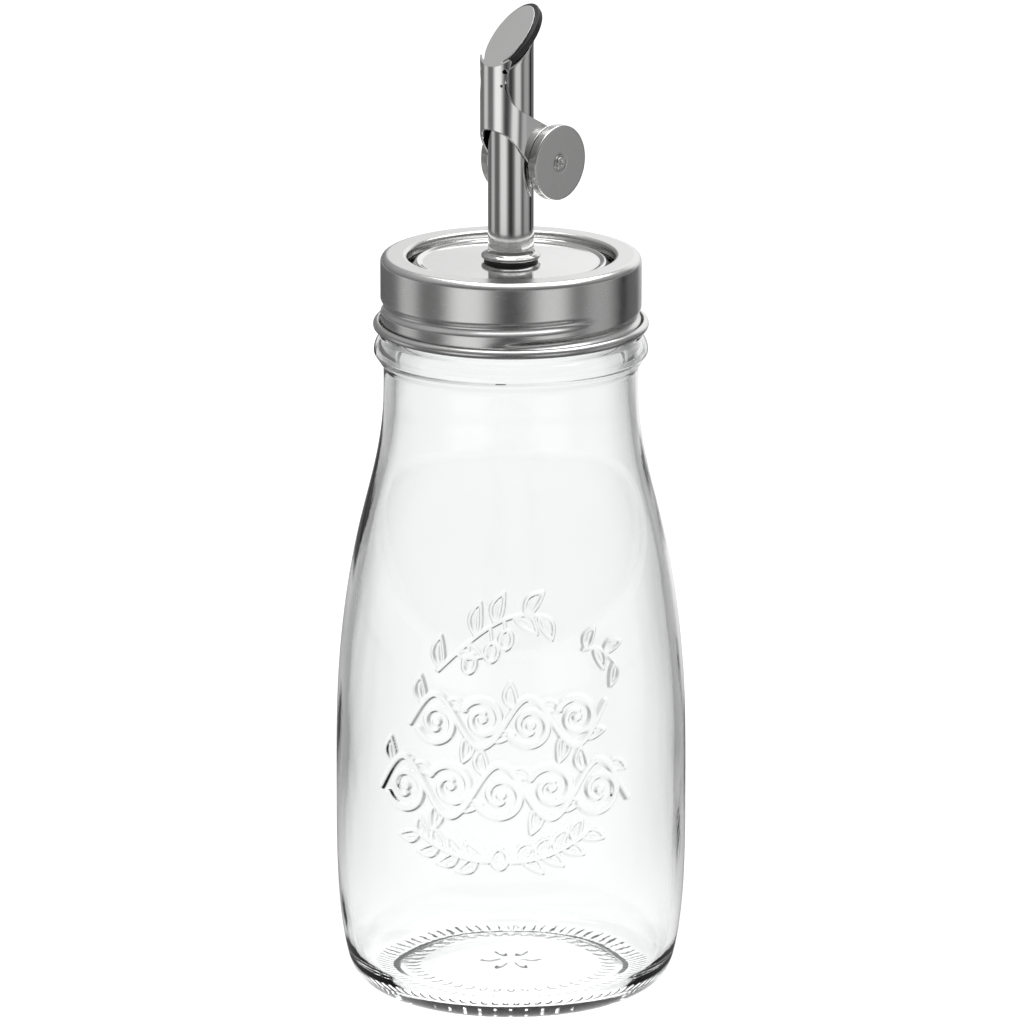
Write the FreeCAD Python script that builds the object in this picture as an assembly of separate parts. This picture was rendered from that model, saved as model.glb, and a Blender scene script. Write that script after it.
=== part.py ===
"""Glass oil bottle with a two-piece screw cap and a gravity-closed pouring flap.

Units are millimetres and +Z is up.  The origin is the centre of the ring the
bottle stands on.  The pourer is modelled with its pouring lip towards +X and
turned about the bottle's axis by POUR_TURN when it is exported.
"""
import FreeCAD
import Part
import math
import os

# ---- driving dimensions -------------------------------------------------
# glass body
WALL = 2.4                  # glass thickness of the body
FOOT_R = 28.8               # where the heel leaves the standing ring
HEEL_R = 8.0                # heel rounding
FOOT_IN_R = 27.0            # inner edge of the standing ring
PUSH_UP = 3.0               # height of the underside's dome
FLOOR_Z = 5.2               # inside floor at the centre
KNURLS = 78                 # grip grooves round the standing ring
KNURL_R = 0.9               # groove radius
KNURL_DEPTH = 0.35
KNURL_LEAN = 8.0            # grooves follow the heel at this slope, degrees
# radius and height inside, from the wall down to the floor
INSIDE_NECK = [(24.6, 151.8), (26.0, 149.4), (27.2, 147.0), (27.1, 145.3), (26.2, 143.6),
               (25.85, 141.2)]
INSIDE_LOW = [(35.7, 13.6), (34.7, 8.6), (32.6, 5.2), (28.6, 3.9), (22.0, 3.7)]
# radius and height of the body from the heel to the neck
BODY = [(38.0, 13.3), (38.9, 22.8), (39.27, 45.0), (38.85, 69.8), (37.1, 88.4),
        (33.7, 106.9), (30.3, 120.8), (28.6, 132.0)]
NECK_R = 28.35
NECK_TOP_Z = 142.3
BEAD_R = 30.5               # handling bead below the cap
BEAD_LEAN = 33.0            # slope of its underside, degrees from upright
BEAD_TOP_Z = 149.8
FINISH_R = 26.8             # plain wall that carries the thread
MOUTH_R = 24.8
RIM_Z = 165.95

# screw thread, shared by glass and band
PITCH = 4.0
THREAD_TOP_DEG = -50.0      # where the band's groove starts
THREAD_TOP_Z = 158.2        # height of the band's groove there
BAND_THREAD_TURNS = 410.0 / 360.0
BAND_THREAD_R = 28.85       # centre line of the rolled groove
BAND_RIDGE_R = 1.35         # section radius inside the sheet
BAND_GROOVE_R = 0.90        # section radius outside the sheet
GLASS_THREAD_R = 26.9
GLASS_RIDGE_R = 1.10
GLASS_LEAD_DEG = 99.0       # glass thread starts this far past the band's
GLASS_THREAD_TURNS = 1.25

# screw band
BAND_R = 29.0
BAND_T = 0.45
BAND_TOP_Z = 168.0
BAND_LIP_R = 23.3
BAND_LIP_Z = 166.4
CURL_R = 0.825              # centre line of the rolled bottom edge
CURL_Z = 151.475

# lid disc and gasket
LID_T = 0.4
LID_R = 28.0
LID_TOP_Z = 167.35
PANEL_TOP_Z = 166.6         # flat middle of the disc
MOAT_TOP_Z = 165.3
LID_HOLE_R = 5.4
GASKET_IN_R = 24.9
GASKET_OUT_R = 27.4
GASKET_Z = 166.0

# pourer
POUR_TURN = 48.5            # pouring direction, degrees from +X
TUBE_R = 5.1
TUBE_BORE_R = 4.6
TUBE_LOW_Z = 158.0
SLOPE = 41.0                # mouth and flap lean
TUBE_CUT_Z = 214.72         # height of the mouth on the axis
COLLAR_Z = 167.4            # underside of the collar
COLLAR_R = 6.6
WASHER_R = 6.0
SEAL_R = 8.4
SEAL_LOW_Z = 165.2
NUT_AF = 14.0
NUT_H = 1.8
AIR_R = 1.2
AIR_BORE_R = 0.85
AIR_X = -3.38
AIR_LOW_Z = 146.0
AIR_TOP_Z = 203.0

# flap lever: one bent sheet
SHEET = 0.5
FACE_X = -0.54              # centre of the flap's upper face
FACE_Z = 217.5
FACE_LONG = 8.75            # half length along the slope
FACE_WIDE = 4.45            # half width
NECK_HALF = 2.7             # half width of the bend at the flap's foot
SADDLE_R = 5.9
SADDLE_X = -1.4
PAD_T = 1.9
PAD_LONG = 9.3              # half length of the rubber pad
PAD_WIDE = 5.15
PAD_SHIFT = 0.65            # pad sits this far up the slope
PIVOT_X = 1.2
PIVOT_Z = 192.5
STUD_R = 0.8
STUD_CLEAR = 0.05

# counterweights
DISC_X = 7.35
DISC_Z = 188.65
DISC_R = 8.42
DISC_T = 2.2
DISC_IN_Y = SADDLE_R + 0.02
RIVET_R = 0.95

Z_AXIS = FreeCAD.Vector(0, 0, 1)
Y_AXIS = FreeCAD.Vector(0, 1, 0)
X_AXIS = FreeCAD.Vector(1, 0, 0)
ORIGIN = FreeCAD.Vector(0, 0, 0)


# ---- small helpers ------------------------------------------------------
def rz(r, z):
    """A point of a turned section."""
    return FreeCAD.Vector(r, 0, z)


def line(a, b):
    return Part.makeLine(a, b)


def arc(a, mid, b):
    return Part.Arc(a, mid, b).toShape()


def polygon(points):
    return Part.Face(Part.makePolygon(points + points[:1]))


def turned(face):
    """Revolve a section in the XZ plane about the Z axis."""
    return face.revolve(ORIGIN, Z_AXIS, 360)


def ring(r_in, r_out, z_low, z_high):
    """Plain washer or tube."""
    base = FreeCAD.Vector(0, 0, z_low)
    outer = Part.makeCylinder(r_out, z_high - z_low, base)
    return outer.cut(Part.makeCylinder(r_in, z_high - z_low, base))


def sheet_face(path, t):
    """Section of a bent sheet of thickness t.

    path holds (r, z, bend radius) along the sheet's middle, with bend radius 0
    at both ends.
    """
    sides = ([], [])
    for side, off in enumerate((t / 2, -t / 2)):
        pen = None
        for i, (r, z, bend) in enumerate(path):
            here = rz(r, z)
            u = here - rz(*path[i - 1][:2]) if i else rz(*path[1][:2]) - here
            v = rz(*path[i + 1][:2]) - here if i + 1 < len(path) else u
            u.normalize()
            v.normalize()
            nu = rz(-u.z, u.x)
            nv = rz(-v.z, v.x)
            if bend == 0:
                point = here + nu * off
                if pen is not None:
                    sides[side].append(line(pen, point))
                pen = point
                continue
            left = 1.0 if u.x * v.z - u.z * v.x > 0 else -1.0
            reach = bend * math.tan(u.getAngle(v) / 2)
            start = here - u * reach
            centre = start + nu * bend * left
            inward = here - centre
            inward.normalize()
            a = start + nu * off
            b = here + v * reach + nv * off
            if (a - pen).Length > 1e-6:
                sides[side].append(line(pen, a))
            sides[side].append(arc(a, centre + inward * (bend - left * off), b))
            pen = b
    first = [s[0].Vertexes[0].Point for s in sides]
    last = [s[-1].Vertexes[-1].Point for s in sides]
    edges = sides[0] + sides[1] + [line(first[0], first[1]), line(last[0], last[1])]
    return Part.Face(Part.Wire(Part.__sortEdges__(edges)))


def thread(path_r, section_r, top_deg, top_z, turns):
    """Round-ended helical ridge that runs down clockwise from its top."""
    drop = PITCH * turns
    helix = Part.makeHelix(PITCH, drop, path_r)
    section = Part.Wire(Part.makeCircle(section_r, rz(path_r, 0), Y_AXIS))
    ridge = Part.Wire(helix.Edges).makePipeShell([section], True, True)
    end = FreeCAD.Vector(path_r, 0, 0)
    low_ball = Part.makeSphere(section_r, end)
    high_ball = Part.makeSphere(section_r, end)
    high_ball.rotate(ORIGIN, Z_AXIS, 360 * turns)
    high_ball.translate(FreeCAD.Vector(0, 0, drop))
    solid = ridge.fuse([low_ball, high_ball])
    solid.rotate(ORIGIN, Z_AXIS, top_deg - 360 * turns)
    solid.translate(FreeCAD.Vector(0, 0, top_z - drop))
    return solid


def slope_frame(shape):
    """Move a shape drawn flat on the XY plane onto the flap's upper face."""
    shape.rotate(ORIGIN, Y_AXIS, -SLOPE)
    shape.translate(rz(FACE_X, FACE_Z))
    return shape


def oval(half_long, half_wide, shift, top, thick):
    """Oval plate in the flap's own frame, its upper face at -top."""
    edge = Part.Ellipse(FreeCAD.Vector(shift, 0, -top), half_long, half_wide).toShape()
    return Part.Face(Part.Wire(edge)).extrude(FreeCAD.Vector(0, 0, -thick))


def dome(r, z_edge, z_top):
    """Shallow spherical cap's section, from its edge to the top on the axis."""
    rise = z_top - z_edge
    radius = (r * r + rise * rise) / (2 * rise)
    half = math.asin(r / radius) / 2
    centre = z_top - radius
    mid = rz(radius * math.sin(half), centre + radius * math.cos(half))
    return arc(rz(r, z_edge), mid, rz(0, z_top))


def mirrored(shape):
    return shape.mirror(ORIGIN, Y_AXIS)


# ---- bottle -------------------------------------------------------------
def heel_point():
    """End of the heel rounding, where the wall starts."""
    lean = math.radians(15.5)
    return rz(FOOT_R + HEEL_R * math.cos(lean), HEEL_R * (1 - math.sin(lean)))


def bead_edges():
    """Handling bead: a leaning underside, a rounded corner and a round top."""
    slope = math.radians(BEAD_LEAN)
    half = slope / 2
    low = rz(NECK_R, NECK_TOP_Z)
    hollow = 1.6
    low_mid = low + rz(hollow * (1 - math.cos(half)), hollow * math.sin(half))
    low_end = low + rz(hollow * (1 - math.cos(slope)), hollow * math.sin(slope))
    corner = 0.9
    high_x = BEAD_R - corner * (1 - math.cos(slope))
    high = rz(high_x, low_end.z + (high_x - low_end.x) / math.tan(slope))
    wide = rz(BEAD_R, high.z + corner * math.sin(slope))
    corner_mid = wide - rz(corner * (1 - math.cos(half)), corner * math.sin(half))
    top = rz(BEAD_R - 1.5, BEAD_TOP_Z)
    rise = top.z - wide.z
    crown = (1.5 * 1.5 + rise * rise) / 3.0
    turn = math.asin(rise / crown) / 2
    top_mid = wide + rz(-crown * (1 - math.cos(turn)), crown * math.sin(turn))
    return [arc(low, low_mid, low_end), line(low_end, high),
            arc(high, corner_mid, wide), arc(wide, top_mid, top)]


def outer_wall():
    """Edges from the standing ring up to the rim, outside."""
    lean = math.radians(15.5)
    half = math.radians(52.75)
    heel_end = heel_point()
    heel_mid = rz(FOOT_R + HEEL_R * math.cos(half), HEEL_R * (1 - math.sin(half)))
    points = [heel_end] + [rz(r, z) for r, z in BODY] + [rz(NECK_R, NECK_TOP_Z)]
    curve = Part.BSplineCurve()
    curve.interpolate(points, InitialTangent=rz(math.sin(lean), math.cos(lean)),
                      FinalTangent=rz(0, 1))
    bead = bead_edges()
    bead_top = rz(BEAD_R - 1.5, BEAD_TOP_Z)
    finish_low = rz(FINISH_R, BEAD_TOP_Z + 1.3)
    rim = 0.8
    return [
        arc(rz(FOOT_R, 0), heel_mid, heel_end),
        curve.toShape(),
        *bead,
        line(bead_top, rz(FINISH_R + 0.8, BEAD_TOP_Z + 0.5)),
        line(rz(FINISH_R + 0.8, BEAD_TOP_Z + 0.5), finish_low),
        line(finish_low, rz(FINISH_R, RIM_Z - rim)),
        arc(rz(FINISH_R, RIM_Z - rim),
            rz(FINISH_R - rim * (1 - math.sqrt(0.5)), RIM_Z - rim * (1 - math.sqrt(0.5))),
            rz(FINISH_R - rim, RIM_Z)),
    ]


def inner_wall():
    """Edges from the rim down to the middle of the floor, inside."""
    rim = 0.6
    shoulder = [rz(r - WALL, z) for r, z in reversed(BODY[1:])]
    low = [rz(r, z) for r, z in INSIDE_LOW]
    neck = [rz(r, z) for r, z in INSIDE_NECK]
    bulge = Part.BSplineCurve()
    bulge.interpolate(neck, InitialTangent=rz(0, -1), FinalTangent=rz(0, -1))
    curve = Part.BSplineCurve()
    floor_edge = low[-1]
    rise = 2 * math.atan((FLOOR_Z - floor_edge.z) / floor_edge.x)
    curve.interpolate([neck[-1]] + shoulder + low, InitialTangent=rz(0, -1),
                      FinalTangent=rz(-math.cos(rise), math.sin(rise)))
    return [
        line(rz(FINISH_R - 0.8, RIM_Z), rz(MOUTH_R + rim, RIM_Z)),
        arc(rz(MOUTH_R + rim, RIM_Z),
            rz(MOUTH_R + rim * (1 - math.sqrt(0.5)), RIM_Z - rim * (1 - math.sqrt(0.5))),
            rz(MOUTH_R, RIM_Z - rim)),
        line(rz(MOUTH_R, RIM_Z - rim), neck[0]),
        bulge.toShape(),
        curve.toShape(),
        dome(floor_edge.x, floor_edge.z, FLOOR_Z),
    ]


def underside():
    """Edges from the axis out to the standing ring."""
    step = rz(FOOT_IN_R - 1.6, 1.1)
    return [
        line(rz(0, FLOOR_Z), rz(0, PUSH_UP)),
        dome(step.x, step.z, PUSH_UP),
        arc(step, rz(FOOT_IN_R - 0.6, 0.35), rz(FOOT_IN_R, 0)),
        line(rz(FOOT_IN_R, 0), rz(FOOT_R, 0)),
    ]


def grip_groove():
    """Shallow groove under the standing ring that follows the heel's start."""
    lean = math.radians(KNURL_LEAN)
    out = rz(math.cos(lean), math.sin(lean))
    down = rz(math.sin(lean), -math.cos(lean))
    touch = rz(FOOT_R + HEEL_R * math.sin(lean), HEEL_R * (1 - math.cos(lean)))
    start = touch + down * (KNURL_R - KNURL_DEPTH) - out * 4.5
    return Part.makeCylinder(KNURL_R, 8.5, start, out)


def glass_bottle():
    section = Part.Face(Part.Wire(outer_wall() + inner_wall() + underside()))
    body = turned(section)
    grooves = []
    for i in range(KNURLS):
        groove = grip_groove()
        groove.rotate(ORIGIN, Z_AXIS, 360.0 * i / KNURLS)
        grooves.append(groove)
    body = body.cut(Part.makeCompound(grooves))
    top_z = THREAD_TOP_Z + PITCH / 2 + PITCH * GLASS_LEAD_DEG / 360
    ridge = thread(GLASS_THREAD_R, GLASS_RIDGE_R, THREAD_TOP_DEG + GLASS_LEAD_DEG,
                   top_z, GLASS_THREAD_TURNS)
    ridge = ridge.cut(Part.makeCylinder(FINISH_R - 0.9, 30, rz(0, 145)))
    return body.fuse(ridge)


# ---- cap ----------------------------------------------------------------
def screw_band():
    r_mid = BAND_R - BAND_T / 2
    top = BAND_TOP_Z - BAND_T / 2
    lip = BAND_LIP_R
    reach = r_mid + 2 * CURL_R
    path = [
        (lip, BAND_LIP_Z, 0),
        (lip, top, 0.6),
        (r_mid, top, 1.35),
        (r_mid, CURL_Z, CURL_R),
        (reach, CURL_Z, CURL_R),
        (reach, CURL_Z + 2 * CURL_R, CURL_R),
        (r_mid + 0.72, CURL_Z + 2 * CURL_R, 0),
    ]
    shell = turned(sheet_face(path, BAND_T))
    ridge = thread(BAND_THREAD_R, BAND_RIDGE_R, THREAD_TOP_DEG, THREAD_TOP_Z,
                   BAND_THREAD_TURNS)
    groove = thread(BAND_THREAD_R, BAND_GROOVE_R, THREAD_TOP_DEG, THREAD_TOP_Z,
                    BAND_THREAD_TURNS)
    ridge = ridge.common(Part.makeCylinder(BAND_R - 0.1, 20, rz(0, 150)))
    return shell.fuse(ridge).cut(groove)


def lid_disc():
    half = LID_T / 2
    path = [
        (LID_R - half, LID_TOP_Z - 1.2, 0),
        (LID_R - half, LID_TOP_Z - half, 0.35),
        (24.25, LID_TOP_Z - half, 0.35),
        (24.05, MOAT_TOP_Z - half, 0.45),
        (21.9, MOAT_TOP_Z - half, 0.45),
        (21.0, PANEL_TOP_Z + 0.25 - half, 0.45),
        (19.8, PANEL_TOP_Z - half, 0.9),
        (LID_HOLE_R, PANEL_TOP_Z - half, 0),
    ]
    return turned(sheet_face(path, LID_T))


def lid_gasket():
    return ring(GASKET_IN_R, GASKET_OUT_R, GASKET_Z, LID_TOP_Z - LID_T)


# ---- fixed pourer -------------------------------------------------------
def above_slope(x, z, size=60.0):
    """Block that fills everything above the flap's plane through (x, 0, z)."""
    block = Part.makeBox(size, size, size, FreeCAD.Vector(-size / 2, -size / 2, 0))
    block.rotate(ORIGIN, Y_AXIS, -SLOPE)
    block.translate(rz(x, z))
    return block


def pour_tube():
    tube = Part.makeCylinder(TUBE_R, 65, rz(0, TUBE_LOW_Z))
    collar = turned(polygon([
        rz(TUBE_R - 0.2, COLLAR_Z), rz(COLLAR_R - 0.7, COLLAR_Z),
        rz(COLLAR_R, COLLAR_Z + 0.55), rz(COLLAR_R, COLLAR_Z + 0.9),
        rz(COLLAR_R - 0.4, COLLAR_Z + 1.25), rz(TUBE_R + 0.25, COLLAR_Z + 1.25),
        rz(TUBE_R, COLLAR_Z + 1.7), rz(TUBE_R - 0.2, COLLAR_Z + 1.7)]))
    solid = tube.fuse(collar)
    solid = solid.cut(Part.makeCylinder(TUBE_BORE_R, 70, rz(0, TUBE_LOW_Z - 1)))
    solid = solid.cut(above_slope(0, TUBE_CUT_Z))
    stud_hole = Part.makeCylinder(STUD_R + 0.01, 20,
                                  FreeCAD.Vector(PIVOT_X, -10, PIVOT_Z), Y_AXIS)
    return solid.cut(stud_hole)


def collar_washer():
    return ring(TUBE_R + 0.05, WASHER_R, PANEL_TOP_Z, COLLAR_Z)


def tube_seal():
    return ring(TUBE_R + 0.05, SEAL_R, SEAL_LOW_Z, PANEL_TOP_Z - LID_T)


def lock_nut():
    corner = NUT_AF / math.sqrt(3)
    corners = []
    for i in range(6):
        turn = math.radians(60 * i)
        corners.append(FreeCAD.Vector(corner * math.cos(turn), corner * math.sin(turn),
                                      SEAL_LOW_Z - NUT_H))
    nut = polygon(corners).extrude(FreeCAD.Vector(0, 0, NUT_H))
    return nut.cut(Part.makeCylinder(TUBE_R + 0.03, 10, rz(0, SEAL_LOW_Z - 5)))


def air_tube():
    """Thin tube against the back of the bore; it lets air in while pouring."""
    tube = ring(AIR_BORE_R, AIR_R, AIR_LOW_Z, AIR_TOP_Z)
    tube.translate(rz(AIR_X, 0))
    return tube


def pivot_stud():
    """Short stud through the tube's wall on the +Y side."""
    start = FreeCAD.Vector(PIVOT_X, TUBE_BORE_R - 0.3, PIVOT_Z)
    return Part.makeCylinder(STUD_R, SADDLE_R - 0.05 - start.y, start, Y_AXIS)


# ---- flap lever ---------------------------------------------------------
def saddle_outline():
    """Side view of the saddle: front edge, lower curve, tongue and ears."""
    front_low = rz(-8.0, 197.8)
    tongue_low = rz(0.95, 187.55)
    tongue_top = rz(9.2, 195.0)
    waist = rz(-1.5, 200.8)
    neck = rz(-6.15, 208.0)
    ear = rz(-5.0, 212.9)
    edges = [
        arc(front_low, rz(-6.3, 196.75), rz(-4.75, 194.85)),
        line(rz(-4.75, 194.85), tongue_low),
        arc(tongue_low, rz(12.4, 184.2), tongue_top),
        line(tongue_top, waist),
        arc(waist, rz(-4.99, 203.87), neck),
        line(neck, ear),
        line(ear, rz(-5.4, 213.6)),
        line(rz(-5.4, 213.6), rz(-8.0, 213.6)),
        line(rz(-8.0, 213.6), front_low),
    ]
    return Part.Face(Part.Wire(edges))


def bent_shell(radius, half):
    """Upright U: half a cylinder in front and two flat arms behind it."""
    round_part = Part.makeCylinder(radius, 60, rz(SADDLE_X, 170))
    corner = FreeCAD.Vector(SADDLE_X, -half, 170)
    return round_part.fuse(Part.makeBox(20, 2 * half, 60, corner))


def flap_lever():
    outer = bent_shell(SADDLE_R, SADDLE_R)
    inner = bent_shell(SADDLE_R - SHEET, SADDLE_R - SHEET)
    inner_room = Part.makeBox(30, 2 * (SADDLE_R - SHEET), 60,
                              FreeCAD.Vector(SADDLE_X, SHEET - SADDLE_R, 170))
    outline = saddle_outline().extrude(FreeCAD.Vector(0, 20, 0))
    outline.translate(FreeCAD.Vector(0, -10, 0))
    saddle = outer.common(outline).cut(inner).cut(inner_room)
    saddle = saddle.cut(above_slope(FACE_X, FACE_Z))

    plate = oval(FACE_LONG, FACE_WIDE, 0, 0, SHEET)
    neck = Part.makeBox(7, 2 * NECK_HALF, SHEET, FreeCAD.Vector(-12, -NECK_HALF, -SHEET))
    plate = slope_frame(plate.fuse(neck))
    keep = Part.makeCylinder(SADDLE_R - 0.02, 60, rz(SADDLE_X, 170))
    keep = keep.fuse(Part.makeBox(20, 20, 60, FreeCAD.Vector(SADDLE_X, -10, 170)))
    lever = saddle.fuse(plate.common(keep)).removeSplitter()

    lever = lever.cut(Part.makeCylinder(STUD_R + STUD_CLEAR, 20,
                                        FreeCAD.Vector(PIVOT_X, -10, PIVOT_Z), Y_AXIS))
    lever = lever.cut(Part.makeCylinder(RIVET_R + 0.02, 20,
                                        FreeCAD.Vector(DISC_X, -10, DISC_Z), Y_AXIS))
    for side in (-1, 1):
        for angle, z, radius in ((38.0, 210.7, 0.6), (30.0, 207.5, 0.3)):
            turn = math.radians(180 - side * angle)
            out = FreeCAD.Vector(math.cos(turn), math.sin(turn), 0)
            start = rz(SADDLE_X, z) + out * (SADDLE_R - 1.2)
            lever = lever.cut(Part.makeCylinder(radius, 3, start, out))
    return lever


def flap_pad():
    return slope_frame(oval(PAD_LONG, PAD_WIDE, PAD_SHIFT, SHEET, PAD_T))


def counterweight():
    """Solid disc on the +Y arm, with a hole for its rivet."""
    start = FreeCAD.Vector(DISC_X, DISC_IN_Y, DISC_Z)
    disc = Part.makeCylinder(DISC_R, DISC_T, start, Y_AXIS)
    disc = disc.makeChamfer(0.25, [e for e in disc.Edges if e.Curve.TypeId ==
                                   "Part::GeomCircle"])
    return disc.cut(Part.makeCylinder(RIVET_R + 0.02, DISC_T, start, Y_AXIS))


def rivet():
    """Rivet through disc and arm on the +Y side, dimpled outside."""
    inner_y = SADDLE_R - SHEET - 0.45
    outer_y = DISC_IN_Y + DISC_T
    axis = FreeCAD.Vector(DISC_X, 0, DISC_Z)
    shank = Part.makeCylinder(RIVET_R, outer_y + 0.3 - inner_y,
                              axis + Y_AXIS * inner_y, Y_AXIS)
    head = Part.makeCylinder(1.6, 0.43, axis + Y_AXIS * inner_y, Y_AXIS)
    button = Part.makeCylinder(1.3, 0.3, axis + Y_AXIS * (outer_y + 0.01), Y_AXIS)
    dimple = Part.makeSphere(0.9, axis + Y_AXIS * (outer_y + 0.31 + 0.6))
    return shank.fuse([head, button]).cut(dimple)


# ---- export -------------------------------------------------------------
def turned_pourer(shape):
    copy = shape.copy()
    copy.rotate(ORIGIN, Z_AXIS, POUR_TURN)
    return copy


def main():
    os.makedirs("parts", exist_ok=True)
    parts = {
        "glass_bottle": glass_bottle(),
        "screw_band": screw_band(),
        "lid_disc": lid_disc(),
        "lid_gasket": lid_gasket(),
    }
    pourer = {
        "pour_tube": pour_tube(),
        "collar_washer": collar_washer(),
        "tube_seal": tube_seal(),
        "lock_nut": lock_nut(),
        "air_tube": air_tube(),
        "flap_lever": flap_lever(),
        "flap_pad": flap_pad(),
        "pivot_stud_left": pivot_stud(),
        "pivot_stud_right": mirrored(pivot_stud()),
        "counterweight_left": counterweight(),
        "counterweight_right": mirrored(counterweight()),
        "rivet_left": rivet(),
        "rivet_right": mirrored(rivet()),
    }
    for name, shape in pourer.items():
        parts[name] = turned_pourer(shape)
    for name, shape in parts.items():
        if not shape.isValid():
            print("not valid:", name)
        box = shape.BoundBox
        print("%-20s %9.1f mm3  %d solid  x %.2f..%.2f y %.2f..%.2f z %.2f..%.2f" % (
            name, shape.Volume, len(shape.Solids), box.XMin, box.XMax,
            box.YMin, box.YMax, box.ZMin, box.ZMax))
        shape.exportStep("parts/%s.step" % name)


main()
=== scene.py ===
"""Looks of the glass oil bottle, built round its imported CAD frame.

Lengths in the modelling code are millimetres in the CAD's own frame and are
turned into metres when a mesh is made.
"""

import math

import bpy
import numpy as np
from mathutils import Matrix, Vector


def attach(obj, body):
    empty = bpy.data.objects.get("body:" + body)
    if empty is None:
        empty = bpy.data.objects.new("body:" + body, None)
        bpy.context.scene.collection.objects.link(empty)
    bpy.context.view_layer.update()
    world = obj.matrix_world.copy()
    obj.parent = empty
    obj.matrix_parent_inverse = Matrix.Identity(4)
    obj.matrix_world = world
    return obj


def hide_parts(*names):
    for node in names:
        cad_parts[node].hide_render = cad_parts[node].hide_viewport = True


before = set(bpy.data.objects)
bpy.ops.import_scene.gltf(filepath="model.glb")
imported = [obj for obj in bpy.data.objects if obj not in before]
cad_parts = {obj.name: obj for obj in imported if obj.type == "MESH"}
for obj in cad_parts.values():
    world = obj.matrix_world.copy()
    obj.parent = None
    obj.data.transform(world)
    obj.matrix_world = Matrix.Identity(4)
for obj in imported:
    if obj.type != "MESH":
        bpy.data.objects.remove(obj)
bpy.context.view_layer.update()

MM = 0.001
TAU = 2 * math.pi

# ---- driving dimensions, as in the CAD ----------------------------------
# glass; the lists hold radius and height, from the heel up or the neck down
WALL = 2.4
FOOT_IN_R = 27.0            # inner edge of the standing ring
FOOT_R = 28.8               # where the heel leaves the standing ring
HEEL_R = 8.0
HEEL_LEAN = 15.5            # wall's lean where the heel ends, degrees
PUSH_UP = 3.0               # height of the underside's dome
FLOOR_Z = 5.2               # inside floor at the centre
BODY = [(38.0, 13.3), (38.9, 22.8), (39.27, 45.0), (38.85, 69.8), (37.1, 88.4),
        (33.7, 106.9), (30.3, 120.8), (28.6, 132.0)]
INSIDE_NECK = [(24.6, 151.8), (26.0, 149.4), (27.2, 147.0), (27.1, 145.3), (26.2, 143.6),
               (25.85, 141.2)]
INSIDE_LOW = [(35.7, 13.6), (34.7, 8.6), (32.6, 5.2), (28.6, 3.9), (22.0, 3.7)]
NECK_R = 28.35
NECK_TOP_Z = 142.3
BEAD_R = 30.5               # handling bead below the cap
BEAD_LEAN = 33.0            # slope of its underside, degrees from upright
BEAD_LOW_R = 1.6            # rounding where the underside leaves the neck
BEAD_CORNER_R = 0.9         # rounding at its widest
BEAD_TOP_Z = 149.8
FINISH_R = 26.8             # plain wall that carries the thread
MOUTH_R = 24.8
RIM_Z = 165.95
KNURLS = 78                 # grip grooves round the standing ring
KNURL_R = 0.9
KNURL_DEPTH = 0.35
KNURL_HALF = 0.71           # half width of a groove
KNURL_LEAN = 8.0            # grooves follow the heel at this slope, degrees

# screw thread
PITCH = 4.0
THREAD_TOP_DEG = -50.0      # where the band's groove starts
THREAD_TOP_Z = 158.2        # height of the band's groove there
BAND_THREAD_SWEEP = 410.0   # degrees of groove
GLASS_THREAD_R = 26.9
GLASS_RIDGE_R = 1.1
GLASS_LEAD_DEG = 99.0       # glass thread starts this far past the band's
GLASS_THREAD_TURNS = 1.25

# screw band
BAND_R = 29.0
BAND_T = 0.45
BAND_TOP_Z = 168.0
BAND_LIP_R = 23.3
BAND_LIP_Z = 166.4
CURL_R = 0.825              # centre line of the rolled bottom edge
CURL_Z = 151.475

# lid disc
LID_T = 0.4
LID_R = 28.0
LID_TOP_Z = 167.35
PANEL_TOP_Z = 166.6         # flat middle of the disc
MOAT_TOP_Z = 165.3
LID_HOLE_R = 5.4

# pouring tube, flap and weights
POUR_TURN = math.radians(48.5)
SLOPE = math.radians(41.0)  # mouth and flap lean
TUBE_R = 5.1
TUBE_BORE_R = 4.6
TUBE_LOW_Z = 158.0
TUBE_CUT_Z = 214.72         # height of the mouth on the axis
COLLAR_R = 6.6
FACE_X = -0.54              # centre of the flap's upper face
FACE_Z = 217.5
SHEET = 0.5
PAD_T = 1.9
PAD_LONG = 9.3              # half length of the rubber pad
PAD_WIDE = 5.15
PAD_SHIFT = 0.65            # pad sits this far up the slope
DISC_X = 7.35
DISC_Z = 188.65
DISC_R = 8.42
DISC_T = 2.2
DISC_IN_Y = 5.92            # inner face, from the pourer's middle plane


# ---- curve and mesh helpers ---------------------------------------------
def smooth(t):
    t = np.clip(t, 0.0, 1.0)
    return t * t * (3 - 2 * t)


def arc(cx, cz, r, a0, a1, n):
    """n points of an arc, angles in degrees, 0 pointing outwards."""
    a = np.radians(np.linspace(a0, a1, n))
    return np.stack([cx + r * np.cos(a), cz + r * np.sin(a)], 1)


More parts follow.
